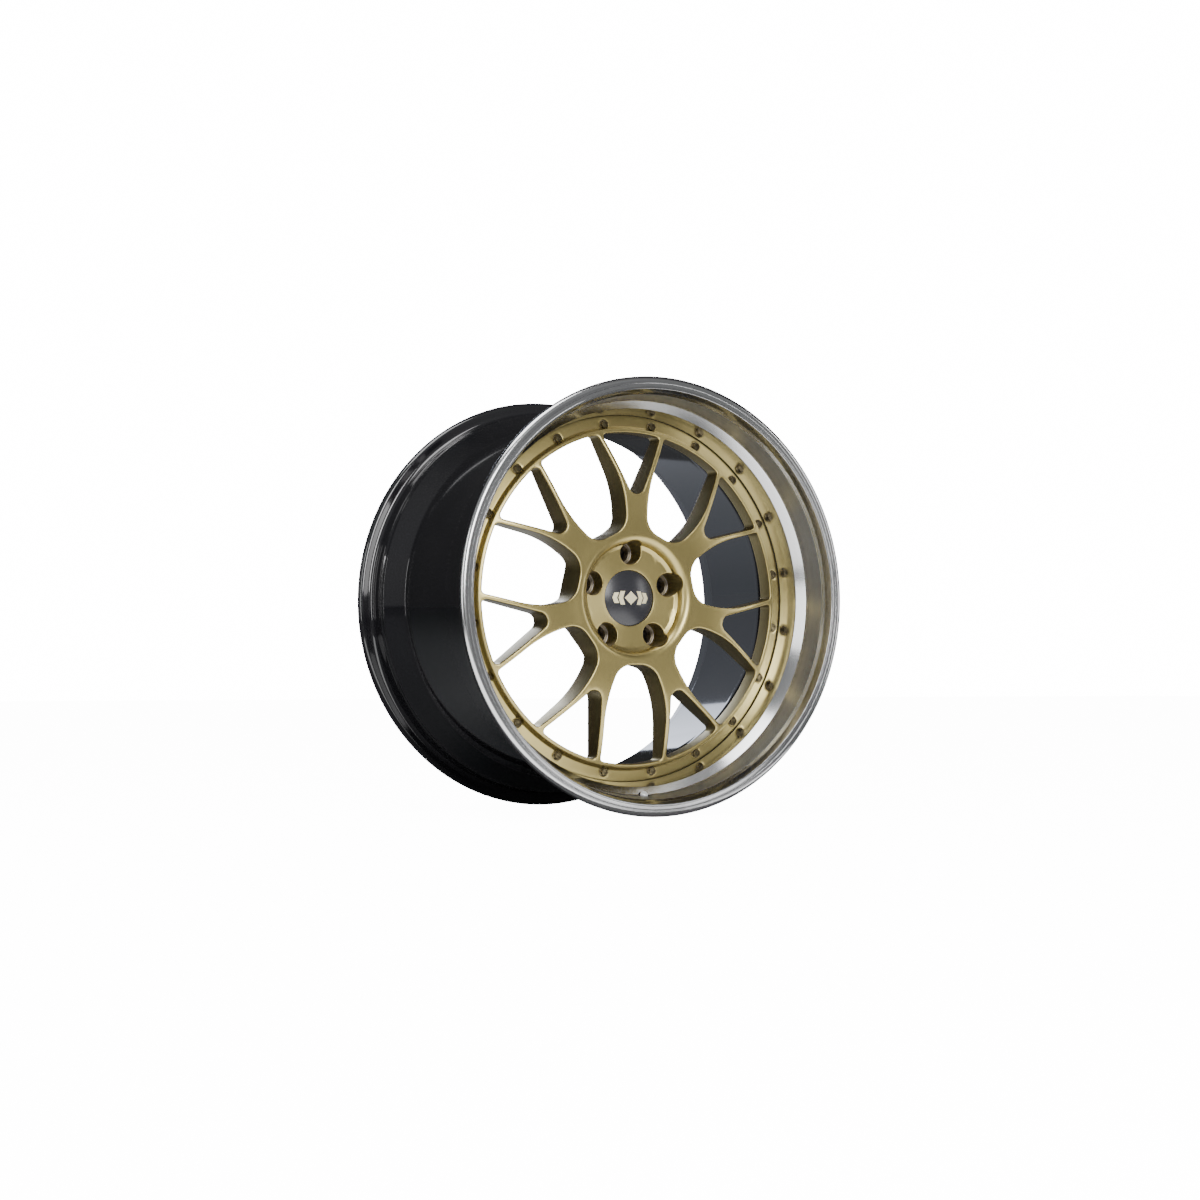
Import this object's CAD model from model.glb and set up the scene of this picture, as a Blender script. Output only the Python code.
"""Forged two-piece racing wheel rim: polished lip, black barrel and a gold bolted spoke centre."""
import math

import bmesh
import bpy
from bpy.props import FloatProperty, FloatVectorProperty, IntProperty, PointerProperty
from mathutils import Matrix, Vector
from mathutils.geometry import delaunay_2d_cdt
from mathutils.kdtree import KDTree


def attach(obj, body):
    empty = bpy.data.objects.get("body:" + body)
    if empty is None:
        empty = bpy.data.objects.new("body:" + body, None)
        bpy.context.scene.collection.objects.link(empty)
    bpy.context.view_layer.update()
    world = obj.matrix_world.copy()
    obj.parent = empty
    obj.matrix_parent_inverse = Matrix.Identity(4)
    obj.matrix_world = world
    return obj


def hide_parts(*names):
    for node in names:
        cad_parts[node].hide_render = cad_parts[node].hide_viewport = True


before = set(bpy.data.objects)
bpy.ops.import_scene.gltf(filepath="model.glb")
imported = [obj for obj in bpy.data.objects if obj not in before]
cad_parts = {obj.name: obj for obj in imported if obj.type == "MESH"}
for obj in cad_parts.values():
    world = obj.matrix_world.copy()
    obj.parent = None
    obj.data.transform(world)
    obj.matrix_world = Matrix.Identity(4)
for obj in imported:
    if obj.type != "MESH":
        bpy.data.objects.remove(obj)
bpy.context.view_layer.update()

bl_info = {
    "name": "Forged racing wheel rim",
    "version": (1, 0, 0),
    "blender": (4, 5, 0),
    "location": "3D View > Sidebar > Wheel rim",
    "description": "Builds the looks of a two-piece forged wheel rim on its measured parts",
    "category": "Object",
}

MM = 0.001
WELD = 0.002 * MM
TAU = 2 * math.pi

# ---------------------------------------------------------------- wheel sizes
# Radii and heights in millimetres. A height is the distance in front of the
# wheel's centre plane, so a point at height h lies at Y = -h.
FLANGE_R = 271.5
BEAD_R = 254.0
IN_H = 146.0
OUT_H = 158.0
FLANGE_ROUND = 6.0
ROOT_R = 6.5
SEAT_R = 231.8
EDGE_H = 73.0
BACK_H = 61.0
INNER_BACK_H = 49.0
INNER_FLANGE_R = 210.5
BARREL_R = 228.5
DROP_R = 233.5
SHOULDER_R = 239.0
DISH_WALL = ((SEAT_R, EDGE_H + 2.5), (236.6, 103.5), (246.0, 114.0), (250.2, IN_H - 3.5))

DISC_R = 231.7
BOLT_CIRCLE_R = 221.0
BOLT_COUNT = 20
BOLT_SEAT_H = 74.2
BOLT_POCKET_R = 6.3
LUG_R = 57.15
LUG_COUNT = 5
LUG_POCKET_R = 15.0
LUG_FLOOR_H = 58.0
STUD_R = 7.5
BACK_POCKET_R = 10.0
BACK_POCKET_H = 55.0
SPOKES = 7
SECTOR = math.pi / SPOKES
WINDOW_R = 209.0
CREST_R = 212.5
CREST_H = 84.5
APEX_R = 112.15
APEX_H = 100.5
FRONT_R = ((CREST_R - APEX_R) ** 2 + (APEX_H - CREST_H) ** 2) / (2 * (APEX_H - CREST_H))
CAP_R = 35.0
CAP_SEAT_R = 35.38
CAP_SEAT_H = 75.0
HUB_RING_R = 40.97
HUB_RING_H = 52.8
PAD_R = 63.15
PAD_H = 80.0
PAD_RISE = 4.0
RECESS_ROUND = 12.7
RECESS_R = 80.15
RECESS_H = 86.44
MOUNT_H = 40.0
MOUNT_R = 74.15
MOUNT_FOOT = 18.0
BAND_STEP_R = 216.7
BAND_R = 217.6
BAND_H = 75.85

VALVE_TILT = math.radians(30)
VALVE_FLOOR = Vector((0, -249.412, 114.2))
VALVE_POCKET_R = 7.15
VALVE_HOLE_R = 4.3
VALVE_BOSS_R = 9.5
VALVE_SPOT_R = 7.75
VALVE_WALL = 4.4

# ------------------------------------------------------------- studio boxes
# name, strength it follows, share of it in watts, width and height in metres,
# place, point it faces, colour
WHITE = (1.0, 1.0, 1.0)
BLUE = (0.8, 0.86, 1.0)
HUB = (0, -0.1, 0)
BOXES = (
    ("front_box", "key", 1.35, 1.2, 1.6, (-0.7, -3.1, 1.0), HUB, WHITE),
    ("front_right_box", "side", 0.35, 0.5, 1.8, (2.3, -2.0, 0.3), HUB, WHITE),
    ("left_box", "side", 0.55, 0.45, 2.2, (-2.5, -1.1, 0.1), HUB, WHITE),
    ("low_box", "side", 0.25, 1.5, 0.8, (-0.35, -0.62, -0.268), (-0.35, -0.62, 1), WHITE),
    ("ceiling_box", "side", 0.7, 1.3, 1.0, (-0.6, -0.5, 1.9), (0, -0.15, 0), WHITE),
    ("left_strip", "side", 0.1, 0.1, 1.6, (-2.7, 0.9, 0.2), (0, 0.1, 0), WHITE),
    ("barrel_glow", "side", 0.0045, 0.36, 0.4, (0.03, 0.5, 0.0), (0.03, 0, 0.0), BLUE),
    ("back_box", "side", 0.06, 0.5, 0.35, (0.28, 1.5, 0.55), (0.1, 0, 0), BLUE),
)


# ------------------------------------------------------------------ utilities
def rest():
    """Leaves edit mode and deselects everything."""
    if bpy.context.object and bpy.context.object.mode != "OBJECT":
        bpy.ops.object.mode_set(mode="OBJECT")
    bpy.ops.object.select_all(action="DESELECT")


def take(*objs):
    """Makes these objects the selection, the first one active."""
    rest()
    for o in objs:
        o.select_set(True)
    bpy.context.view_layer.objects.active = objs[0]


def edit(obj, everything=True):
    """Opens one object in edit mode with all or nothing selected."""
    take(obj)
    bpy.ops.object.mode_set(mode="EDIT")
    bpy.ops.mesh.select_all(action="SELECT" if everything else "DESELECT")


def tidy_mesh(obj, angle):
    """Merges doubles, points faces outwards and shades smooth up to an angle."""
    edit(obj)
    bpy.ops.mesh.remove_doubles(threshold=WELD)
    bpy.ops.mesh.normals_make_consistent(inside=False)
    rest()
    take(obj)
    bpy.ops.object.shade_smooth_by_angle(angle=math.radians(angle))
    rest()


def place(obj, matrix):
    """Moves a mesh into place and leaves its object at the origin."""
    obj.data.transform(matrix)
    obj.matrix_world = Matrix.Identity(4)


def cylinder(radius, low, high, sides):
    """A cylinder about +Z between two heights, all in millimetres."""
    rest()
    bpy.ops.mesh.primitive_cylinder_add(vertices=sides, radius=radius * MM, depth=(high - low) * MM)
    obj = bpy.context.object
    place(obj, Matrix.Translation((0, 0, (low + high) / 2 * MM)))
    return obj


def mesh_piece(name, verts, edges=(), faces=()):
    """A new mesh object from points in metres."""
    mesh = bpy.data.meshes.new(name)
    mesh.from_pydata(verts, edges, faces)
    obj = bpy.data.objects.new(name, mesh)
    bpy.context.scene.collection.objects.link(obj)
    return obj


def rename(obj, name):
    """Names an object and its mesh."""
    obj.name = name
    obj.data.name = name
    return obj


def rounded(outline, default=0.5, radii=None, steps=4):
    """Rounds the corners of a closed outline of (r, h) points.

    radii gives the roll of a corner by its place in the outline, default that
    of the rest. Corners that are nearly straight stay as they are.
    """
    radii = radii or {}
    straight = math.radians(86)
    out = []
    for i, corner in enumerate(outline):
        p = Vector(corner)
        a = Vector(outline[i - 1]) - p
        b = Vector(outline[(i + 1) % len(outline)]) - p
        radius = radii.get(i, default)
        half = a.angle(b) / 2
        if radius <= 0 or half > straight:
            out.append((p.x, p.y))
            continue
        run = min(radius / math.tan(half), a.length * 0.45, b.length * 0.45)
        start, end = p + a.normalized() * run, p + b.normalized() * run
        for k in range(steps + 1):
            t = k / steps
            q = start * (1 - t) ** 2 + p * (2 * t * (1 - t)) + end * t ** 2
            out.append((q.x, q.y))
    return out


def revolve(name, outline, steps):
    """Spins a closed outline of (r, h) points about the axle."""
    verts = [(r * MM, -h * MM, 0) for r, h in outline]
    edges = [(i, (i + 1) % len(verts)) for i in range(len(verts))]
    obj = mesh_piece(name, verts, edges)
    edit(obj)
    bpy.ops.mesh.spin(steps=steps, angle=TAU, center=(0, 0, 0), axis=(0, 1, 0))
    bpy.ops.mesh.select_all(action="SELECT")
    bpy.ops.mesh.remove_doubles(threshold=WELD)
    rest()
    return obj


def around(obj, count, start):
    """Copies a piece round the axle and joins the copies into one mesh."""
    base = obj.data.copy()
    bm = bmesh.new()
    for i in range(count):
        turn = Matrix.Rotation(-(start + i * TAU / count), 4, "Y")
        part = base.copy()
        part.transform(turn)
        bm.from_mesh(part)
        bpy.data.meshes.remove(part)
    bm.to_mesh(obj.data)
    bm.free()
    bpy.data.meshes.remove(base)
    return obj


def at_valve(z=0.0):
    """Matrix that puts a shape built along +Z at the valve, z millimetres off its floor."""
    tilt = Matrix.Rotation(VALVE_TILT - math.pi / 2, 4, "X")
    wheel = Matrix.Rotation(math.pi / 2, 4, "X")
    return wheel @ Matrix.Translation(VALVE_FLOOR * MM) @ tilt @ Matrix.Translation((0, 0, z * MM))


# ------------------------------------------------------------- spoke centre
def front_height(r):
    """Height of the spoke centre's front surface at radius r."""
    if r <= CAP_SEAT_R:
        return CAP_SEAT_H
    if r <= PAD_R:
        return PAD_H + (r - CAP_R) * PAD_RISE / (PAD_R - CAP_R)
    foot = RECESS_R - RECESS_ROUND
    if r <= foot:
        edge = PAD_H + PAD_RISE
        return edge + (r - PAD_R) * (RECESS_H - edge) / (foot - PAD_R)
    if r <= RECESS_R:
        return RECESS_H + math.sqrt(max(0.0, RECESS_ROUND ** 2 - (r - RECESS_R) ** 2))
    if r <= CREST_R:
        return APEX_H - FRONT_R + math.sqrt(FRONT_R ** 2 - (r - APEX_R) ** 2)
    roll, roll_drop, run = 1.2, 0.55, 3.0
    if r <= CREST_R + roll:
        return CREST_H - roll_drop * ((r - CREST_R) / roll) ** 2
    if r <= BAND_STEP_R:
        top, low = CREST_H - roll_drop, BAND_H + 0.5
        return top - (r - CREST_R - roll) * (top - low) / run
    if r <= BAND_R:
        return BAND_H + 0.5 - 0.5 * math.sin((r - BAND_STEP_R) / (BAND_R - BAND_STEP_R) * math.pi / 2)
    return BAND_H - (r - BAND_R) * (BAND_H - EDGE_H) / (DISC_R - BAND_R)


def back_height(r):
    """Height of the spoke centre's back surface at radius r."""
    if r <= HUB_RING_R:
        return HUB_RING_H
    if r <= MOUNT_R:
        return MOUNT_H
    if r <= MOUNT_R + MOUNT_FOOT:
        return MOUNT_H + (r - MOUNT_R) * (BACK_H - MOUNT_H) / MOUNT_FOOT
    return BACK_H


def arc_path(arcs, offset, step):
    """Samples a convex closed outline given as arcs (x, y, radius, from, to) in degrees.

    Straight runs join each arc to the next; offset grows the outline outwards.
    """
    points = []
    for i, (cx, cy, radius, a0, a1) in enumerate(arcs):
        count = max(3, int(math.ceil(abs(math.radians(a1 - a0)) * radius / step)))
        for k in range(count + 1):
            a = math.radians(a0 + (a1 - a0) * k / count)
            points.append((cx + radius * math.cos(a), cy + radius * math.sin(a), math.cos(a), math.sin(a)))
        nx, ny, nr, n0, _ = arcs[(i + 1) % len(arcs)]
        b = math.radians(n0)
        end = (nx + nr * math.cos(b), ny + nr * math.sin(b), math.cos(b), math.sin(b))
        run = math.hypot(end[0] - points[-1][0], end[1] - points[-1][1])
        count = int(run / (step * 1.3))
        last = points[-1]
        for k in range(1, count):
            t = k / count
            points.append(tuple(p + (q - p) * t for p, q in zip(last, end)))
    clean = []
    for p in points:
        if not clean or math.hypot(p[0] - clean[-1][0], p[1] - clean[-1][1]) > 0.2:
            clean.append(p)
    while math.hypot(clean[0][0] - clean[-1][0], clean[0][1] - clean[-1][1]) < 0.2:
        clean.pop()
    return [(x + nx * offset, y + ny * offset) for x, y, nx, ny in clean]


def window_arcs():
    """Arcs of the large window's outline, pointing along +Y."""
    arm_off = CREST_R * math.sin(SECTOR / 2)
    half = arm_off - 3
    corner_r, flank_r, fillet = 27.0, 140.0, 5.0
    inner = LUG_R + 27.4
    flank_y = WINDOW_R * 0.765
    flank_x = half - flank_r
    corner_y = inner + corner_r
    corner_x = flank_x + 0.15 + math.sqrt((flank_r - corner_r) ** 2 - (flank_y - corner_y) ** 2)
    out_x = half - fillet
    out_y = math.sqrt((WINDOW_R - fillet) ** 2 - out_x ** 2)
    meet = math.degrees(math.atan2(corner_y - flank_y, corner_x - flank_x))
    aim = math.degrees(math.atan2(out_y, out_x))
    return [
        (corner_x, corner_y, corner_r, -90, meet),
        (flank_x, flank_y, flank_r, meet, 0),
        (out_x, out_y, fillet, 0, aim),
        (0, 0, WINDOW_R, aim, 180 - aim),
        (-out_x, out_y, fillet, 180 - aim, 180),
        (-flank_x, flank_y, flank_r, 180, 180 - meet),
        (-corner_x, corner_y, corner_r, 180 - meet, 270),
    ]


def vee_arcs():
    """Arcs of the outline of the window inside a Y, pointing along +Y."""
    off = CREST_R * math.sin(SECTOR / 2) + 3
    crotch, fillet = 11.0, 5.0
    y = (off + crotch) / math.sin(SECTOR)
    t = math.sqrt((WINDOW_R - fillet) ** 2 - (off + fillet) ** 2)
    out_x = t * math.sin(SECTOR) - (off + fillet) * math.cos(SECTOR)
    out_y = t * math.cos(SECTOR) + (off + fillet) * math.sin(SECTOR)
    side = -math.degrees(SECTOR)
    aim = math.degrees(math.atan2(out_y, out_x))
    return [
        (0, y, crotch, -180 - side, side),
        (out_x, out_y, fillet, side, aim),
        (0, 0, WINDOW_R, aim, 180 - aim),
        (-out_x, out_y, fillet, 180 - aim, 180 - side),
    ]


class DiscPlan:
    """Plan of the spoke centre: points, fixed edges and the heights on both faces."""

    def __init__(self):
        self.points, self.edges, self.heights, self.holes = [], [], [], []
        self.lugs = lug_centres(0.0)
        self.pockets = lug_centres(0.5)
        self.bolts = [polar(BOLT_CIRCLE_R, (k + 0.5) * TAU / BOLT_COUNT) for k in range(BOLT_COUNT)]

    def loop(self, points, front, back, hole=None):
        """Adds a closed loop; front and back give its heights, hole names the gap it borders."""
        first = len(self.points)
        for p in points:
            self.points.append(Vector(p))
            self.heights.append((front(p), back(p)))
            self.holes.append(hole)
        n = len(points)
        self.edges += [(first + i, first + (i + 1) % n) for i in range(n)]

    def open_circle(self, points, keep):
        """Adds the parts of a circle that keep clear of its neighbours."""
        ids = {}
        for i, p in enumerate(points):
            if keep(p):
                ids[i] = len(self.points)
                self.points.append(Vector(p))
                self.heights.append((front_at(p), back_at(p)))
                self.holes.append(None)
        n = len(points)
        self.edges += [(ids[i], ids[(i + 1) % n]) for i in range(n) if i in ids and (i + 1) % n in ids]


def lug_centres(shift):
    """Centres on the lug circle, turned by a share of the spacing."""
    return [polar(LUG_R, TAU / 4 + (k + shift) * TAU / LUG_COUNT) for k in range(LUG_COUNT)]


def polar(r, a):
    return (r * math.cos(a), r * math.sin(a))


def turned(p, a):
    """The point p turned by the angle a."""
    return (p[0] * math.cos(a) - p[1] * math.sin(a), p[0] * math.sin(a) + p[1] * math.cos(a))


def near(p, centres, reach):
    """True when p is closer than reach to one of the centres."""
    return any((p[0] - c[0]) ** 2 + (p[1] - c[1]) ** 2 < reach * reach for c in centres)


def circle(r, count, centre=(0.0, 0.0), start=0.0):
    """Points of a circle."""
    angles = [start + i * TAU / count for i in range(count)]
    return [(centre[0] + r * math.cos(a), centre[1] + r * math.sin(a)) for a in angles]


def front_at(p):
    return front_height(math.hypot(*p))


def back_at(p):
    return back_height(math.hypot(*p))


def spoke_centre_mesh(name, front_edge, back_edge, step):
    """Builds the spoke centre with rolled window edges, nut pockets and bolt pockets."""
    plan = DiscPlan()
    quarter = [0.0, 0.07, 0.24, 0.5, 0.75, 1.0]
    turns = [(1 - math.cos(q * math.pi / 2), 1 - math.sin(q * math.pi / 2)) for q in quarter]

    # windows: nested loops from the wall to the end of the rolled edge
    rims = []
    for k in range(2 * SPOKES):
        arcs = vee_arcs() if k % 2 == 0 else window_arcs()
        turn = k * SECTOR
        for out, drop in turns:
            plan.loop([turned(p, turn) for p in arc_path(arcs, out * front_edge, step)],
                      lambda p, d=drop: front_at(p) - d * front_edge,
                      lambda p, d=drop: back_at(p) + d * back_edge,
                      "window%d" % k if out == 0 else None)
        rims += [turned(p, turn) for p in arc_path(arcs, front_edge, 1.0)]
    tree = KDTree(len(rims))
    for i, p in enumerate(rims):
        tree.insert((p[0], p[1], 0), i)
    tree.balance()

    # wheel-nut pockets, seen from the front
    pocket_roll = 1.0
    for centre in plan.lugs:
        for out, drop in turns:
            plan.loop(circle(LUG_POCKET_R + out * pocket_roll, 96, centre),
                      lambda p, d=drop: front_at(p) - d * pocket_roll, back_at)
        for r, h in ((14.96, LUG_FLOOR_H + 1.0), (14.75, LUG_FLOOR_H + 0.4), (14.2, LUG_FLOOR_H + 0.05),
                     (13.6, LUG_FLOOR_H), (11.4, LUG_FLOOR_H), (11.0, 57.85), (10.6, 57.3), (8.1, 53.03)):
            plan.loop(circle(r, 96, centre), lambda p, h=h: h, back_at)
        plan.loop(circle(STUD_R, 96, centre), lambda p: 52.0, lambda p: MOUNT_H + 0.6, "stud%.1f" % centre[0])

    # lightening pockets, seen from the back
    for centre in plan.pockets:
        plan.loop(circle(BACK_POCKET_R + 0.6, 64, centre), front_at, back_at)
        plan.loop(circle(BACK_POCKET_R, 64, centre), front_at, lambda p: back_at(p) + 0.6)
        plan.loop(circle(BACK_POCKET_R - 0.05, 64, centre), front_at, lambda p: BACK_POCKET_H - 0.6)
        plan.loop(circle(BACK_POCKET_R - 0.7, 64, centre), front_at, lambda p: BACK_POCKET_H)
        plan.loop(circle(BACK_POCKET_R / 2, 32, centre), front_at, lambda p: BACK_POCKET_H)

    # bolt pockets in the outer band
    for centre in plan.bolts:
        for out, drop in ((0.45, 0.0), (0.2, 0.12), (0.0, 0.45)):
            plan.loop(circle(BOLT_POCKET_R + out, 48, centre), lambda p, d=drop: front_at(p) - d, back_at)
        for r, count in ((BOLT_POCKET_R - 0.05, 48), (5.6, 48), (3.0, 16)):
            plan.loop(circle(r, count, centre), lambda p: min(BOLT_SEAT_H, front_at(p) - 0.5), back_at)

    # hub circles: the bore, the seat under the cap and the roll into the pad
    cap_roll = 0.8
    at_ring = lambda p: HUB_RING_H
    plan.loop(circle(28.5, 128), lambda p: CAP_SEAT_H - 0.5, at_ring, "hub")
    for r in (29.0, 32.0, CAP_SEAT_R - 0.03):
        plan.loop(circle(r, 128), lambda p: CAP_SEAT_H, at_ring)
    for out, drop in turns:
        plan.loop(circle(CAP_SEAT_R + 0.02 + cap_roll * out, 128),
                  lambda p, d=drop: PAD_H + 0.06 - cap_roll * d, at_ring)

    def hub_clear(p):
        return (not near(p, plan.lugs, LUG_POCKET_R + pocket_roll + 0.35)
                and not near(p, plan.pockets, BACK_POCKET_R + 1.0))

    for r, h in ((38.2, HUB_RING_H), (HUB_RING_R - 0.02, HUB_RING_H), (HUB_RING_R + 0.03, MOUNT_H + 0.6),
                 (HUB_RING_R + 0.63, MOUNT_H)):
        plan.loop(circle(r, 128), front_at, lambda p, h=h: h)
    gaps = (arc_path(vee_arcs(), front_edge, 1.0), arc_path(window_arcs(), front_edge, 1.0))

    def clear(p):
        if not hub_clear(p) or tree.find((p[0], p[1], 0))[2] < step * 0.55:
            return False
        if math.hypot(*p) < 80:
            return True
        k = round((math.atan2(p[1], p[0]) - math.pi / 2) / SECTOR)
        return not any(point_in(turned(p, -i * SECTOR), gaps[i % 2]) for i in (k - 1, k, k + 1))

    # rings across the pad and the recess, closer where the surface turns
    for r in (44, 46.5, 49, 51.5, 54, 56.5, 59, 61, 62.4, PAD_R, 63.9, 65.2, 66.6, 67.45, 67.55, 67.8, 68.2, 68.8,
              69.6, 70.6, 71.8, 73.1, MOUNT_R, 75.2, 76.8, 78.5, RECESS_R):
        plan.open_circle(circle(r, 200), clear)
    foot = MOUNT_R + MOUNT_FOOT
    r = RECESS_R
    while r < CREST_R - 3:
        r += step * 1.35
        if abs(r - foot) < step * 0.6:
            r = foot
        plan.open_circle(circle(r, 2 * round(math.pi * r / (step * 1.5)), start=r), clear)

    # outer band
    def band_clear(p):
        return not near(p, plan.bolts, BOLT_POCKET_R + 0.95)

    for r in (211.6, 212.2, 212.6, 213.0, 213.4, 213.7, 214.6, 215.7, BAND_STEP_R, 216.95, 217.25, BAND_R, 219,
              221.5, 224.5, 227.5, 230.0):
        plan.open_circle(circle(r, 420), band_clear)
    plan.loop(circle(231.2, 420), front_at, back_at)
    plan.loop(circle(231.5, 420), lambda p: front_at(p) - 0.12, lambda p: BACK_H + 0.15)
    plan.loop(circle(DISC_R, 420), lambda p: front_at(p) - 0.5, lambda p: BACK_H + 0.5)

    verts, _, faces, origins, _, _ = delaunay_2d_cdt(plan.points, plan.edges, [], 0, 0.00001)
    heights, holes = [], []
    for v, origin in zip(verts, origins):
        r = v.length
        heights.append(plan.heights[origin[0]] if origin else (front_height(r), back_height(r)))
        holes.append(plan.holes[origin[0]] if origin else None)
    kept = [tuple(f) for f in faces
            if holes[f[0]] is None or not holes[f[0]] == holes[f[1]] == holes[f[2]]]

    count = len(verts)
    points = [(v.x * MM, -h[0] * MM, v.y * MM) for v, h in zip(verts, heights)]
    points += [(v.x * MM, -h[1] * MM, v.y * MM) for v, h in zip(verts, heights)]
    used = {}
    for f in kept:
        for a, b in ((f[0], f[1]), (f[1], f[2]), (f[2], f[0])):
            used[(a, b)] = True
    shell = list(kept)
    shell += [tuple(i + count for i in reversed(f)) for f in kept]
    shell += [(b, a, a + count, b + count) for a, b in used if (b, a) not in used]
    obj = mesh_piece(name, points, (), shell)
    edit(obj, False)
    bpy.ops.mesh.delete_loose()
    rest()
    tidy_mesh(obj, angle=32)
    return obj


def point_in(p, outline):
    """True when p lies inside a closed outline."""
    x, y = p[0], p[1]
    hit = False
    j = len(outline) - 1
    for i in range(len(outline)):
        xi, yi = outline[i]
        xj, yj = outline[j]
        if (yi > y) != (yj > y) and x < (xj - xi) * (y - yi) / (yj - yi) + xi:
            hit = not hit
        j = i
    return hit


# ---------------------------------------------------------------------- rim
def rim_outline():
    """Closed half section of the rim, in order from the front flange."""
    tip = FLANGE_R - FLANGE_ROUND
    steps = 20
    front_tip = [(tip + FLANGE_ROUND * math.sin(a), OUT_H - FLANGE_ROUND + FLANGE_ROUND * math.cos(a))
                 for a in [math.pi * i / steps for i in range(steps + 1)]]
    rear_tip = [(r, -h) for r, h in front_tip]

    def root(side):
        arc = [(BEAD_R + ROOT_R - ROOT_R * math.cos(a), IN_H - ROOT_R + ROOT_R * math.sin(a))
               for a in [math.pi / 2 * i / 8 for i in range(9)]]
        return arc if side > 0 else [(r, -h) for r, h in arc][::-1]

    face = rounded([
        (tip - 0.3, OUT_H), (262.5, OUT_H), (262.1, OUT_H - 0.8), (257.9, OUT_H - 0.8), (257.5, OUT_H),
        (255.5, OUT_H), (252.5, IN_H + 1.5), *reversed(DISH_WALL),
        (SEAT_R, BACK_H), (INNER_FLANGE_R, BACK_H), (INNER_FLANGE_R, INNER_BACK_H), (BARREL_R, INNER_BACK_H),
        (BARREL_R, -91.0), (247.4, -117.0), (249.0, 3.5 - IN_H), (254.5, -150.0), (258.5, -OUT_H),
        (tip - 0.3, -OUT_H)],
        0.5, {0: 0, 1: 0.3, 2: 0.2, 3: 0.2, 4: 0.3, 5: 0.8, 6: 3.0, 7: 2.5, 8: 3.0, 9: 3.0, 10: 1.0, 11: 0.3,
              14: 2.5, 15: 8, 16: 8, 17: 4, 18: 3, 19: 1.0, 20: 0})

    # bead seat and safety hump as (radius past the seat, distance in from the flange)
    seat = BEAD_R - 1.4
    hump = ((-0.2, 19.0), (0.0, 20.0), (1.0, 21.5), (1.0, 24.0), (-0.3, 26.5))
    rear_hump = [(seat + up, run - IN_H) for up, run in hump]
    front_hump = [(seat + up, IN_H - run) for up, run in reversed(hump)]
    drop = [(seat - 0.3, -116.0), (DROP_R, -85.0), (DROP_R, 35.0), (SHOULDER_R, 45.0), (SHOULDER_R, 67.0),
            (243.1, 100.5), (seat - 0.3, 113.0)]
    tyre_side = rounded(rear_hump + drop + front_hump,
                        1.0, {0: 0, 5: 6, 6: 10, 7: 5, 8: 3, 9: 6, 10: 4, 11: 3, 16: 0})
    return face + rear_tip + root(-1) + tyre_side[1:-1] + root(1) + front_tip[::-1]


def boolean(obj, operation, radius, low, high):
    """Adds or cuts a cylinder on the valve's axis."""
    tool = cylinder(radius, (low - high) / 2, (high - low) / 2, 48)
    place(tool, at_valve(z=(high + low) / 2))
    take(obj)
    change = obj.modifiers.new("valve", "BOOLEAN")
    change.operation, change.solver, change.object = operation, "EXACT", tool
    bpy.ops.object.modifier_apply(modifier=change.name)
    bpy.data.objects.remove(tool)


def cut_valve_pocket(obj):
    """Adds the valve boss, then sinks the pocket, the through hole and the flat behind it."""
    boolean(obj, "UNION", VALVE_BOSS_R, -VALVE_WALL, -1.0)
    boolean(obj, "DIFFERENCE", VALVE_POCKET_R, 0.0, 24.0)
    boolean(obj, "DIFFERENCE", VALVE_HOLE_R, -6.0, 1.0)
    boolean(obj, "DIFFERENCE", VALVE_SPOT_R, -24.0, -VALVE_WALL)


def polished_side(c):
    """True for a face centre on the bright-cut front of the rim."""
    r, h = math.hypot(c.x, c.z) / MM, -c.y / MM
    if h > IN_H - 1:
        return r < 259.5 or h > OUT_H - 3.5
    if h < EDGE_H - 0.5:
        return False
    for (low_r, low), (high_r, high) in zip(DISH_WALL, DISH_WALL[1:]):
        if h < high:
            return r < max(low_r, low_r + (high_r - low_r) * (h - low) / (high - low)) + 1.2
    return r < 252.0


# ---------------------------------------------------------------- hardware
def bolt_head():
    """One twelve-point bolt with a round flange, built along +Z from its seat."""
    flange = cylinder(5.8, 0, 1.2, 36)
    edit(flange, False)
    pick_faces(flange, lambda c, n: n.z > 0.9)
    bpy.ops.mesh.inset(thickness=0.7 * MM, depth=0.45 * MM)
    bpy.ops.mesh.inset(thickness=0.5 * MM)

    # every second edge of the head is drawn in, which leaves twelve points
    head = cylinder(4.72, 1.0, 5.0, 24)
    for v in head.data.vertices:
        if round(math.degrees(math.atan2(v.co.y, v.co.x)) / 15) % 2:
            v.co.x *= 0.905
            v.co.y *= 0.905
    edit(head, False)
    pick_faces(head, lambda c, n: n.z > 0.9)
    for thickness, depth in ((0.45, 0.3), (1.3, 0.0), (0.35, -0.85), (0.5, -0.1)):
        bpy.ops.mesh.inset(thickness=thickness * MM, depth=depth * MM)

    shank = cylinder(3.5, -34.0, 0, 32)
    edit(shank, False)
    pick_faces(shank, lambda c, n: n.z < -0.9)
    bpy.ops.mesh.inset(thickness=0.8 * MM, depth=0.9 * MM)
    collar = cylinder(3.5, -33.5, -32.5, 32)
    take(flange, head, shank, collar)
    bpy.ops.object.join()
    return bpy.context.object


def pick_faces(obj, test):
    """Selects the faces of the object in edit mode whose centre and normal pass a test."""
    bm = bmesh.from_edit_mesh(obj.data)
    bm.select_mode = {"FACE"}
    for f in bm.faces:
        f.select_set(bool(test(f.calc_center_median(), f.normal)))
    bm.select_flush_mode()
    bmesh.update_edit_mesh(obj.data)


def seat_matrix(h):
    """Puts a shape built along +Z on the bolt circle, facing the front."""
    return Matrix.Translation((BOLT_CIRCLE_R * MM, -h * MM, 0)) @ Matrix.Rotation(math.pi / 2, 4, "X")


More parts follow.
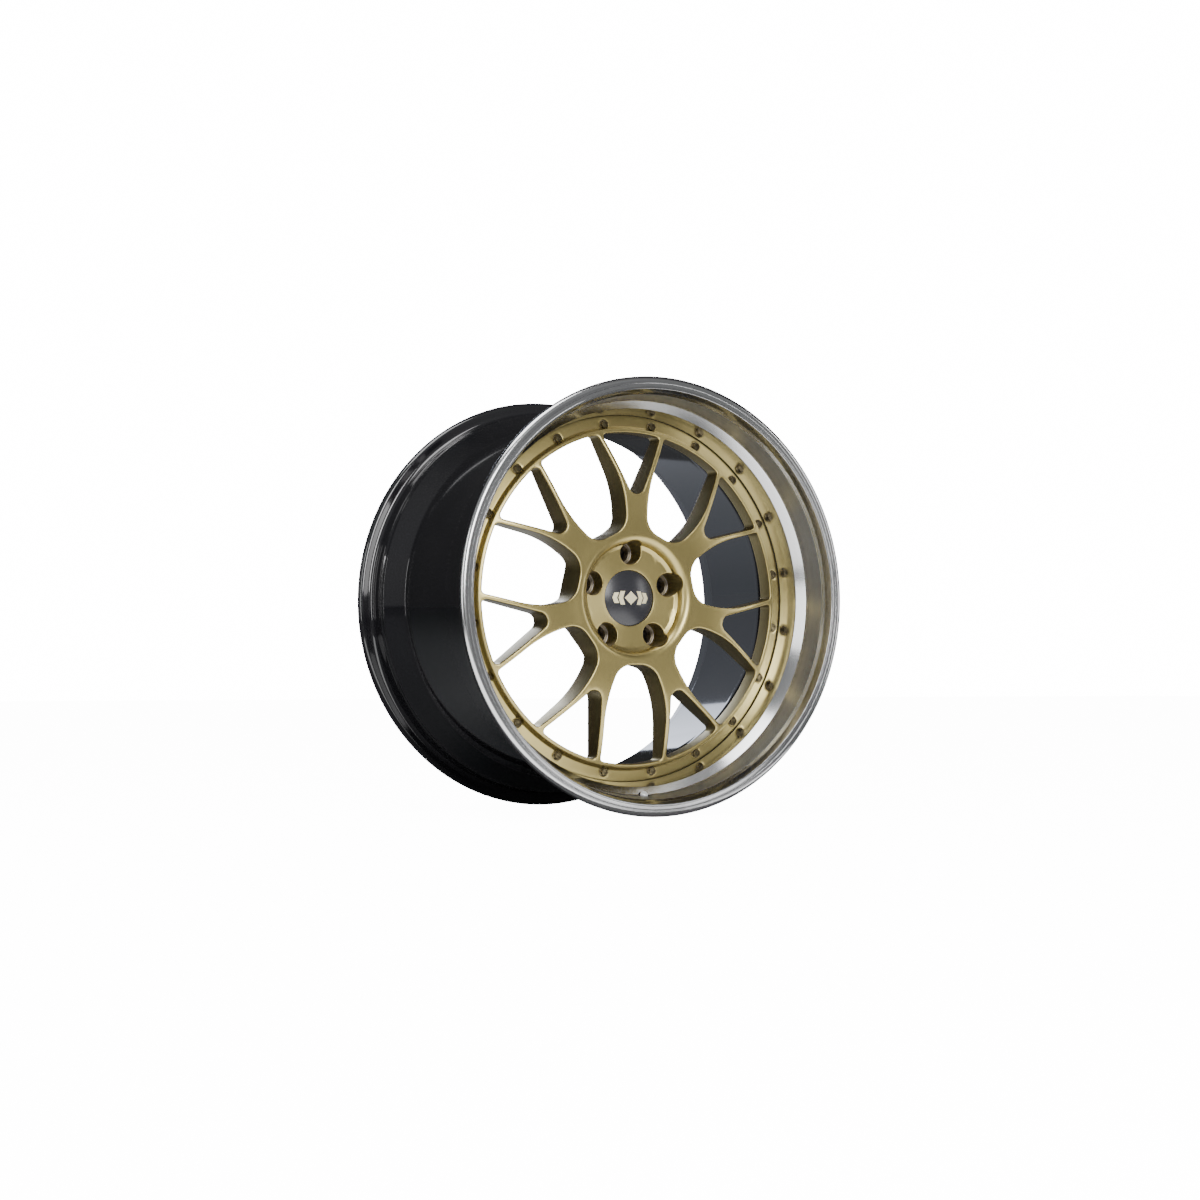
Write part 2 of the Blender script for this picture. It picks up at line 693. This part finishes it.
# ---------------------------------------------------------------- materials
DUST = (0.42, 0.4, 0.37)


def socket(group, name, kind, default=None, out=False):
    """Adds an input or output to a node group."""
    s = group.interface.new_socket(name=name, in_out="OUTPUT" if out else "INPUT", socket_type=kind)
    if default is not None:
        s.default_value = default


def new_group(name, inputs, outputs):
    """Starts a shader node group; returns it with its input and output nodes."""
    group = bpy.data.node_groups.new(name, "ShaderNodeTree")
    for title, kind, default in inputs:
        socket(group, title, kind, default)
    for title, kind in outputs:
        socket(group, title, kind, out=True)
    return group, group.nodes.new("NodeGroupInput"), group.nodes.new("NodeGroupOutput")


def maths(tree, operation, a, b=None, c=None, clamp=False):
    """A Math node; a, b and c are numbers or sockets."""
    node = tree.nodes.new("ShaderNodeMath")
    node.operation, node.use_clamp = operation, clamp
    for i, value in enumerate((a, b, c)):
        if value is None:
            continue
        if isinstance(value, (int, float)):
            node.inputs[i].default_value = value
        else:
            tree.links.new(value, node.inputs[i])
    return node.outputs[0]


def noise(tree, vector, scale, detail=2.0, rough=0.5, w=None):
    """A Noise node over a vector, or along w alone."""
    node = tree.nodes.new("ShaderNodeTexNoise")
    if w is not None:
        node.noise_dimensions = "1D"
        tree.links.new(w, node.inputs["W"])
    elif vector is not None:
        tree.links.new(vector, node.inputs["Vector"])
    if isinstance(scale, (int, float)):
        node.inputs["Scale"].default_value = scale
    else:
        tree.links.new(scale, node.inputs["Scale"])
    node.inputs["Detail"].default_value = detail
    node.inputs["Roughness"].default_value = rough
    return node.outputs["Fac"]


def remap(tree, value, a, b, c, d):
    """A Map Range node from a..b to c..d."""
    node = tree.nodes.new("ShaderNodeMapRange")
    tree.links.new(value, node.inputs["Value"])
    for title, number in (("From Min", a), ("From Max", b), ("To Min", c), ("To Max", d)):
        node.inputs[title].default_value = number
    return node.outputs["Result"]


def radius_of(tree, vector):
    """Distance from the axle, and place along it, of a point in object coordinates."""
    split = tree.nodes.new("ShaderNodeSeparateXYZ")
    tree.links.new(vector, split.inputs[0])
    square = maths(tree, "ADD", maths(tree, "MULTIPLY", split.outputs[0], split.outputs[0]),
                   maths(tree, "MULTIPLY", split.outputs[2], split.outputs[2]))
    return maths(tree, "SQRT", square), split.outputs[1]


def turning_group():
    """Fine concentric marks left by a lathe tool."""
    group, start, end = new_group("Turning marks", [("Vector", "NodeSocketVector", None),
                                                    ("Lines per metre", "NodeSocketFloat", 700.0)],
                                  [("Marks", "NodeSocketFloat"), ("Bands", "NodeSocketFloat")])
    radius, depth = radius_of(group, start.outputs["Vector"])
    along = maths(group, "MULTIPLY_ADD", depth, 0.7, radius)
    scaled = maths(group, "MULTIPLY", along, start.outputs["Lines per metre"])
    marks = noise(group, None, 1.0, 3.0, 0.7, w=scaled)
    bands = noise(group, None, 0.14, 2.0, 0.5, w=scaled)
    group.links.new(marks, end.inputs["Marks"])
    group.links.new(bands, end.inputs["Bands"])


def dust_group():
    """Faint settled dust and handling marks: more of it on faces that look up."""
    group, start, end = new_group("Handling dust", [("Vector", "NodeSocketVector", None),
                                                    ("Normal", "NodeSocketVector", None),
                                                    ("Amount", "NodeSocketFloat", 0.3)],
                                  [("Mask", "NodeSocketFloat")])
    split = group.nodes.new("ShaderNodeSeparateXYZ")
    group.links.new(start.outputs["Normal"], split.inputs[0])
    up = remap(group, split.outputs[2], -0.2, 1.0, 0.15, 1.0)
    cloud = remap(group, noise(group, start.outputs["Vector"], 9.0, 5.0, 0.65), 0.42, 0.75, 0.0, 1.0)
    speck = remap(group, noise(group, start.outputs["Vector"], 420.0, 2.0, 0.5), 0.55, 0.75, 0.2, 1.0)
    mask = maths(group, "MULTIPLY", maths(group, "MULTIPLY", up, cloud), speck)
    group.links.new(maths(group, "MULTIPLY", mask, start.outputs["Amount"], clamp=True), end.inputs["Mask"])


def grain_group():
    """Fine paint or casting grain with slow mottling under it."""
    group, start, end = new_group("Paint grain", [("Vector", "NodeSocketVector", None),
                                                  ("Scale", "NodeSocketFloat", 900.0)],
                                  [("Fine", "NodeSocketFloat"), ("Mottle", "NodeSocketFloat")])
    group.links.new(noise(group, start.outputs["Vector"], start.outputs["Scale"], 2.0, 0.6), end.inputs["Fine"])
    slow = maths(group, "MULTIPLY", start.outputs["Scale"], 0.012)
    group.links.new(noise(group, start.outputs["Vector"], slow, 4.0, 0.55), end.inputs["Mottle"])


def use_group(tree, group, **values):
    """Places a node group by name and sets or links its inputs."""
    node = tree.nodes.new("ShaderNodeGroup")
    node.node_tree = bpy.data.node_groups[group]
    for title, value in values.items():
        target = node.inputs[title.replace("_", " ")]
        if isinstance(value, (int, float)):
            target.default_value = value
        else:
            tree.links.new(value, target)
    return node


def blend_colours(tree, factor, a, b):
    """Mixes two colours, each a tuple or a socket."""
    node = tree.nodes.new("ShaderNodeMix")
    node.data_type = "RGBA"
    tree.links.new(factor, node.inputs["Factor"])
    for value, target in ((a, node.inputs["A"]), (b, node.inputs["B"])):
        if isinstance(value, (tuple, list)):
            target.default_value = (*value[:3], 1.0)
        else:
            tree.links.new(value, target)
    return node.outputs["Result"]


def finish(name, colour, shade, metallic, rough, spread=0.05, scale=900.0, bump=0.00001, coat=0.0, coat_rough=0.05,
           turned=0.0, lines=700.0, dust=0.15, streak=0.0, brushed=0.0, specular=0.5):
    """A finish with grain, mottling, dust and, where it was turned, tool marks.

    colour and shade are the two ends of its colour, spread the swing of its
    roughness, bump and turned the depths of grain and tool marks in metres,
    streak how far the tool marks darken it and brushed how far they stretch
    its highlights across the marks.
    """
    mat = bpy.data.materials.new(name)
    mat.use_nodes = True
    tree = mat.node_tree
    shader = tree.nodes["Principled BSDF"]
    where = tree.nodes.new("ShaderNodeTexCoord").outputs["Object"]
    facing = tree.nodes.new("ShaderNodeNewGeometry").outputs["Normal"]
    grain = use_group(tree, "Paint grain", Vector=where, Scale=scale)
    specks = use_group(tree, "Handling dust", Vector=where, Normal=facing, Amount=dust)
    mix = remap(tree, grain.outputs["Mottle"], 0.3, 0.7, 0.0, 1.0)
    base = blend_colours(tree, mix, colour, shade)
    roughness = maths(tree, "MULTIPLY_ADD", grain.outputs["Mottle"], spread, rough - spread / 2)
    height = maths(tree, "MULTIPLY", grain.outputs["Fine"], bump)
    if turned or streak:
        lathe_marks = use_group(tree, "Turning marks", Vector=where, Lines_per_metre=lines)
        dark = tuple(c * (1 - streak) for c in shade)
        base = blend_colours(tree, remap(tree, lathe_marks.outputs["Bands"], 0.35, 0.68, 0.0, 1.0), base, dark)
        height = maths(tree, "ADD", height, maths(tree, "MULTIPLY", lathe_marks.outputs["Marks"], turned))
        roughness = maths(tree, "ADD", roughness, maths(tree, "MULTIPLY", lathe_marks.outputs["Marks"], spread))
    base = blend_colours(tree, specks.outputs["Mask"], base, DUST)
    roughness = maths(tree, "MULTIPLY_ADD", specks.outputs["Mask"], 0.35, roughness)
    relief = tree.nodes.new("ShaderNodeBump")
    relief.inputs["Strength"].default_value = 1.0
    relief.inputs["Distance"].default_value = 1.0
    tree.links.new(height, relief.inputs["Height"])
    tree.links.new(relief.outputs["Normal"], shader.inputs["Normal"])
    tree.links.new(base, shader.inputs["Base Color"])
    tree.links.new(roughness, shader.inputs["Roughness"])
    shader.inputs["Metallic"].default_value = metallic
    shader.inputs["Coat Weight"].default_value = coat
    shader.inputs["Coat Roughness"].default_value = coat_rough
    shader.inputs["Specular IOR Level"].default_value = specular
    if brushed:
        round_axle = tree.nodes.new("ShaderNodeTangent")
        round_axle.direction_type, round_axle.axis = "RADIAL", "Y"
        tree.links.new(round_axle.outputs["Tangent"], shader.inputs["Tangent"])
        shader.inputs["Anisotropic"].default_value = brushed
        shader.inputs["Anisotropic Rotation"].default_value = 0.25


def darker(colour, factor):
    """The colour times a factor."""
    return tuple(c * factor for c in colour)


def wear(obj, *materials):
    """Gives an object these materials, in order, and nothing else."""
    obj.data.materials.clear()
    for m in materials:
        obj.data.materials.append(m)


def keep_cad(material, *nodes):
    """Keeps these measured pieces and gives them a finish."""
    for node in nodes:
        wear(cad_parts[node], bpy.data.materials[material])


# --------------------------------------------------------------- properties
class WheelShape(bpy.types.PropertyGroup):
    """Sizes of the modelled detail."""
    front_edge: FloatProperty(name="Front edge radius", description="Roll of the window edges on the front, in mm",
                              default=2.0, min=0.8, max=2.6)
    back_edge: FloatProperty(name="Back edge radius", description="Roll of the window edges on the back, in mm",
                             default=1.4, min=0.5, max=2.5)
    mesh_step: FloatProperty(name="Mesh step", description="Spacing of points on the spoke centre, in mm",
                             default=2.4, min=1.6, max=5.0)
    rim_steps: IntProperty(name="Rim segments", description="Segments around the rim", default=384, min=96, max=720)


class WheelPaint(bpy.types.PropertyGroup):
    """Colours of the finishes."""
    gold: FloatVectorProperty(name="Gold", description="Satin gold of the spoke centre", subtype="COLOR",
                              default=(0.43, 0.35, 0.135), min=0, max=1)
    black: FloatVectorProperty(name="Black", description="Gloss black of the barrel", subtype="COLOR",
                               default=(0.006, 0.006, 0.007), min=0, max=1)
    bright: FloatVectorProperty(name="Bright cut", description="Polished aluminium of the lip", subtype="COLOR",
                                default=(0.88, 0.885, 0.89), min=0, max=1)
    bolt: FloatVectorProperty(name="Bolt steel", description="Dull steel of the bolts", subtype="COLOR",
                              default=(0.12, 0.1, 0.055), min=0, max=1)


class StudioLook(bpy.types.PropertyGroup):
    """Strengths of the studio."""
    key: FloatProperty(name="Key light", description="Power the front box follows, in watts", default=60.0, min=0)
    side: FloatProperty(name="Side light", description="Power the other boxes follow, in watts", default=45.0, min=0)
    fill: FloatProperty(name="Fill", description="Brightness of the room around the wheel", default=0.45, min=0)
    floor: FloatVectorProperty(name="Floor", description="Colour of the floor", subtype="COLOR",
                               default=(0.86, 0.86, 0.855), min=0, max=1)


def shape():
    """The shape settings of the scene."""
    return bpy.context.scene.wheel_shape


def paint():
    """The paint settings of the scene."""
    return bpy.context.scene.wheel_paint


def look():
    """The studio settings of the scene."""
    return bpy.context.scene.studio_look


# ---------------------------------------------------------------- operators
class WHEEL_OT_finishes(bpy.types.Operator):
    """Builds the shared effects and every finish of the wheel"""
    bl_idname = "wheel.finishes"
    bl_label = "Finishes"

    def execute(self, context):
        turning_group()
        dust_group()
        grain_group()
        p = paint()
        gold, black, bright, bolt = tuple(p.gold), tuple(p.black), tuple(p.bright), tuple(p.bolt)
        finish("satin_gold", gold, darker(gold, 0.86), 0.96, 0.32, 0.08, 1400, 0.000008,
               coat=0.3, coat_rough=0.2, dust=0.08)
        finish("polished_lip", bright, darker(bright, 0.93), 1.0, 0.13, 0.08, 500, 0.000001,
               turned=0.000006, lines=420, streak=0.5, dust=0.02, brushed=0.4)
        finish("turned_lip", darker(bright, 0.8), darker(bright, 0.72), 1.0, 0.14, 0.1, 500, 0.000001,
               turned=0.000008, lines=420, streak=0.55, dust=0.02, brushed=0.45)
        finish("brushed_wall", darker(bright, 0.62), darker(bright, 0.55), 1.0, 0.3, 0.08, 500, 0.000002,
               turned=0.000004, lines=420, streak=0.2, dust=0.03, brushed=0.5)
        finish("gloss_black", black, darker(black, 1.6), 0.0, 0.07, 0.03, 500, 0.000002,
               coat=0.4, coat_rough=0.03, dust=0.05)
        finish("machined_seat", (0.16, 0.14, 0.12), (0.11, 0.1, 0.085), 1.0, 0.26, 0.1, 900, 0.000004,
               turned=0.00001, lines=1500, streak=0.25)
        finish("bolt_steel", bolt, darker(bolt, 0.8), 1.0, 0.3, 0.1, 1500, 0.000006)
        finish("plated_steel", (0.55, 0.55, 0.53), (0.42, 0.42, 0.41), 1.0, 0.28, 0.1, 1200, 0.000006)
        finish("turned_aluminium", (0.7, 0.71, 0.72), (0.6, 0.6, 0.61), 1.0, 0.22, 0.06, 900, 0.000003,
               turned=0.00001, lines=1600, streak=0.1)
        finish("spring_wire", (0.45, 0.45, 0.47), (0.34, 0.34, 0.35), 1.0, 0.25, 0.08, 1500, 0.000004)
        finish("cap_gloss", (0.003, 0.003, 0.003), (0.006, 0.006, 0.006), 0.0, 0.1, 0.03, 700, 0.000001,
               dust=0.02, specular=0.25)
        finish("emblem_gold", (0.72, 0.6, 0.32), (0.62, 0.5, 0.26), 1.0, 0.24, 0.05, 1200, 0.000004)
        finish("seal_rubber", (0.012, 0.012, 0.012), (0.022, 0.022, 0.021), 0.0, 0.62, 0.15, 900, 0.00002, dust=0.3)
        finish("valve_plate", (0.86, 0.87, 0.88), (0.78, 0.79, 0.8), 0.45, 0.3, 0.05, 1500, 0.000003)
        finish("black_anodised", (0.012, 0.012, 0.013), (0.022, 0.022, 0.023), 0.3, 0.3, 0.1, 1500, 0.000005)
        finish("core_brass", (0.7, 0.5, 0.22), (0.55, 0.38, 0.16), 1.0, 0.25, 0.1, 1500, 0.000005)
        return {"FINISHED"}


class WHEEL_OT_rim(bpy.types.Operator):
    """Spins the rim section, cuts the valve pocket and gives each zone its finish"""
    bl_idname = "wheel.rim"
    bl_label = "Rim"

    def execute(self, context):
        rim = revolve("rim_forging", rim_outline(), shape().rim_steps)
        edit(rim)
        bpy.ops.mesh.normals_make_consistent(inside=False)
        rest()
        if sum(f.center.dot(f.normal) * f.area for f in rim.data.polygons) < 0:
            edit(rim)
            bpy.ops.mesh.flip_normals()
            rest()
        cut_valve_pocket(rim)
        tidy_mesh(rim, angle=28)
        finishes = ("gloss_black", "polished_lip", "black_anodised", "brushed_wall", "turned_lip")
        black, step, pocket, wall, lip = range(len(finishes))
        wear(rim, *(bpy.data.materials[name] for name in finishes))
        floor = at_valve() @ Vector((0, 0, 0))
        axis = (at_valve() @ Vector((0, 0, 1)) - floor).normalized()
        for f in rim.data.polygons:
            h = -f.center.y / MM
            zone = black
            if polished_side(f.center):
                zone = wall if DISH_WALL[2][1] + 1 < h < IN_H - 2 else lip if h >= IN_H - 2 else step
            run = (f.center - floor).dot(axis)
            off = (f.center - floor - axis * run).length
            if off < (VALVE_POCKET_R - 0.05) * MM and -30 * MM < run < 12 * MM:
                zone = pocket
            f.material_index = zone
        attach(rim, "wheel")
        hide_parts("rim")
        return {"FINISHED"}


class WHEEL_OT_spoke_centre(bpy.types.Operator):
    """Models the forged spoke centre with rolled edges, nut seats and bolt pockets"""
    bl_idname = "wheel.spoke_centre"
    bl_label = "Spoke centre"

    def execute(self, context):
        s = shape()
        disc = spoke_centre_mesh("spoke_centre", s.front_edge, s.back_edge, s.mesh_step)
        wear(disc, bpy.data.materials["satin_gold"], bpy.data.materials["machined_seat"])
        lugs = lug_centres(0.0)
        for f in disc.data.polygons:
            p = (f.center.x / MM, f.center.z / MM)
            in_pocket = near(p, lugs, LUG_POCKET_R - 0.01) and -f.center.y < (LUG_FLOOR_H + 2) * MM
            if in_pocket or near(p, lugs, STUD_R + 0.1):
                f.material_index = 1
        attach(disc, "wheel")
        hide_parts("centre_disc")
        return {"FINISHED"}


class WHEEL_OT_bolts(bpy.types.Operator):
    """Models one twelve-point bolt and copies it round the bolt circle"""
    bl_idname = "wheel.bolts"
    bl_label = "Assembly bolts"

    def execute(self, context):
        bolt = rename(bolt_head(), "assembly_bolt_set")
        bolt.data.transform(seat_matrix(BOLT_SEAT_H))
        around(bolt, BOLT_COUNT, TAU / BOLT_COUNT / 2)
        tidy_mesh(bolt, angle=30)
        wear(bolt, bpy.data.materials["bolt_steel"])
        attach(bolt, "wheel")
        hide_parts("assembly_bolts")
        return {"FINISHED"}


class WHEEL_OT_small_parts(bpy.types.Operator):
    """Gives the small measured parts their finishes"""
    bl_idname = "wheel.small_parts"
    bl_label = "Small parts"

    def execute(self, context):
        keep_cad("plated_steel", "assembly_washers", "assembly_nuts")
        keep_cad("turned_aluminium", "hub_centring_ring")
        keep_cad("spring_wire", "hub_ring_clip", "cap_spring_ring", "valve_core_spring")
        keep_cad("cap_gloss", "cap_shell")
        keep_cad("emblem_gold", "cap_emblem")
        keep_cad("seal_rubber", "cap_o_ring", "valve_inner_seal", "valve_core_seal_ring", "valve_core_cup_seal",
                 "valve_cap_seal")
        keep_cad("valve_plate", "valve_stem", "valve_cap")
        keep_cad("black_anodised", "valve_washer", "valve_nut")
        keep_cad("core_brass", "valve_core_body", "valve_core_pin")
        return {"FINISHED"}


def area_light(name, power, width, height, at, aim, colour):
    """A rectangular light that the camera itself does not see."""
    data = bpy.data.lights.new(name, "AREA")
    data.energy, data.color = power, colour
    data.shape, data.size, data.size_y = "RECTANGLE", width, height
    light = bpy.data.objects.new(name, data)
    bpy.context.scene.collection.objects.link(light)
    light.location = at
    light.visible_camera = False
    light.rotation_euler = (Vector(aim) - Vector(at)).to_track_quat("-Z", "Y").to_euler()


class WHEEL_OT_stage(bpy.types.Operator):
    """Sets up the floor, the studio lights and the camera"""
    bl_idname = "wheel.stage"
    bl_label = "Stage"

    def execute(self, context):
        s = look()
        rest()
        bpy.ops.mesh.primitive_plane_add(size=30, location=(0, 0, -FLANGE_R * MM - 0.0002))
        floor = rename(bpy.context.object, "floor")
        mat = bpy.data.materials.new("pale_floor")
        mat.use_nodes = True
        tree = mat.node_tree
        shader = tree.nodes["Principled BSDF"]
        where = tree.nodes.new("ShaderNodeTexCoord").outputs["Object"]
        tint = tuple(s.floor)
        tree.links.new(blend_colours(tree, noise(tree, where, 3.0, 4.0), tint, darker(tint, 0.98)),
                       shader.inputs["Base Color"])
        shader.inputs["Roughness"].default_value = 0.8
        shader.inputs["Specular IOR Level"].default_value = 0.1
        glow = tree.nodes.new("ShaderNodeEmission")
        glow.inputs["Strength"].default_value = 14.0
        both = tree.nodes.new("ShaderNodeAddShader")
        seen = tree.nodes.new("ShaderNodeMixShader")
        tree.links.new(tree.nodes.new("ShaderNodeLightPath").outputs["Is Camera Ray"], seen.inputs["Fac"])
        dim = tree.nodes.new("ShaderNodeBsdfDiffuse")
        dim.inputs["Color"].default_value = (0.16, 0.16, 0.165, 1)
        tree.links.new(dim.outputs[0], seen.inputs[1])
        tree.links.new(shader.outputs[0], both.inputs[0])
        tree.links.new(glow.outputs[0], both.inputs[1])
        tree.links.new(both.outputs[0], seen.inputs[2])
        tree.links.new(seen.outputs[0], tree.nodes["Material Output"].inputs["Surface"])
        wear(floor, mat)

        world = bpy.data.worlds.new("studio")
        context.scene.world = world
        world.use_nodes = True
        tree = world.node_tree
        back = tree.nodes["Background"]
        back.inputs["Color"].default_value = (1, 1, 1, 1)
        back.inputs["Strength"].default_value = 16.0
        room = tree.nodes.new("ShaderNodeBackground")
        aim = tree.nodes.new("ShaderNodeVectorMath")
        aim.operation = "DOT_PRODUCT"
        aim.inputs[1].default_value = (-0.55, -0.8, 0.25)
        tree.links.new(tree.nodes.new("ShaderNodeTexCoord").outputs["Generated"], aim.inputs[0])
        ramp = remap(tree, aim.outputs["Value"], 0.0, 0.75, 0.1, 1.0)
        room.inputs["Color"].default_value = (0.97, 0.985, 1.0, 1)
        tree.links.new(maths(tree, "MULTIPLY", ramp, s.fill), room.inputs["Strength"])
        pick = tree.nodes.new("ShaderNodeMixShader")
        path = tree.nodes.new("ShaderNodeLightPath")
        tree.links.new(path.outputs["Is Camera Ray"], pick.inputs["Fac"])
        tree.links.new(room.outputs[0], pick.inputs[1])
        tree.links.new(back.outputs[0], pick.inputs[2])
        tree.links.new(pick.outputs[0], tree.nodes["World Output"].inputs["Surface"])

        for name, strength, share, width, height, at, aim, colour in BOXES:
            area_light(name, getattr(s, strength) * share, width, height, at, aim, colour)

        data = bpy.data.cameras.new("studio_camera")
        data.lens, data.sensor_width = 65.39, 36
        camera = bpy.data.objects.new("studio_camera", data)
        context.scene.collection.objects.link(camera)
        camera.location = (-1.3700, -2.4599, -0.1032)
        camera.rotation_euler = Vector((0.48682, 0.87273, 0.03664)).to_track_quat("-Z", "Y").to_euler()
        context.scene.camera = camera
        return {"FINISHED"}


class WHEEL_PT_panel(bpy.types.Panel):
    """Lists the steps that build the wheel"""
    bl_idname = "WHEEL_PT_panel"
    bl_label = "Wheel rim"
    bl_space_type = "VIEW_3D"
    bl_region_type = "UI"
    bl_category = "Wheel rim"

    def draw(self, context):
        layout = self.layout
        for group in (context.scene.wheel_shape, context.scene.wheel_paint, context.scene.studio_look):
            for name in group.bl_rna.properties.keys():
                if name not in ("rna_type", "name"):
                    layout.prop(group, name)
        for op in STEPS:
            layout.operator(op.bl_idname)


GROUPS = (WheelShape, WheelPaint, StudioLook)
STEPS = (WHEEL_OT_finishes, WHEEL_OT_rim, WHEEL_OT_spoke_centre, WHEEL_OT_bolts, WHEEL_OT_small_parts, WHEEL_OT_stage)


def register():
    for c in GROUPS + STEPS + (WHEEL_PT_panel,):
        bpy.utils.register_class(c)
    bpy.types.Scene.wheel_shape = PointerProperty(type=WheelShape)
    bpy.types.Scene.wheel_paint = PointerProperty(type=WheelPaint)
    bpy.types.Scene.studio_look = PointerProperty(type=StudioLook)


def unregister():
    del bpy.types.Scene.wheel_shape, bpy.types.Scene.wheel_paint, bpy.types.Scene.studio_look
    for c in reversed(GROUPS + STEPS + (WHEEL_PT_panel,)):
        bpy.utils.unregister_class(c)


def main():
    register()
    rest()
    for step in STEPS:
        family, name = step.bl_idname.split(".")
        getattr(getattr(bpy.ops, family), name)()


if __name__ == "__main__":
    main()
